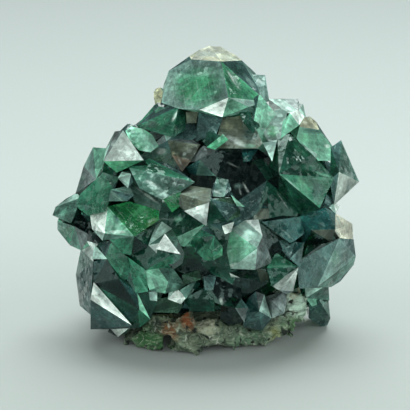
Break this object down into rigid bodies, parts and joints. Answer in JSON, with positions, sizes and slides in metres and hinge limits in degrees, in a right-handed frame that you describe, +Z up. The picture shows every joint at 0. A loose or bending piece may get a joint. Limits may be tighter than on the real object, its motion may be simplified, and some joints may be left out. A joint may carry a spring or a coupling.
{
  "type": "fluorite specimen",
  "caption": "Cabinet-size cluster of intergrown green octahedral fluorite crystals on a rough host rock that rests on a flat cut base.",
  "frame": {"origin": "bottom centre of the bounding box, on the table", "axes": "+Z up, +X to the right and +Y away from someone who faces the front"},
  "size_m": [0.123, 0.0988, 0.1109],
  "materials": {
    "fluorite": "clear to cloudy green crystal faces",
    "matrix": "rough, with moss green and rust stains"
  },
  "bodies": {
    "root": {"crystal_cluster": "fluorite", "matrix_rock": "matrix"}
  },
  "joints": []
}
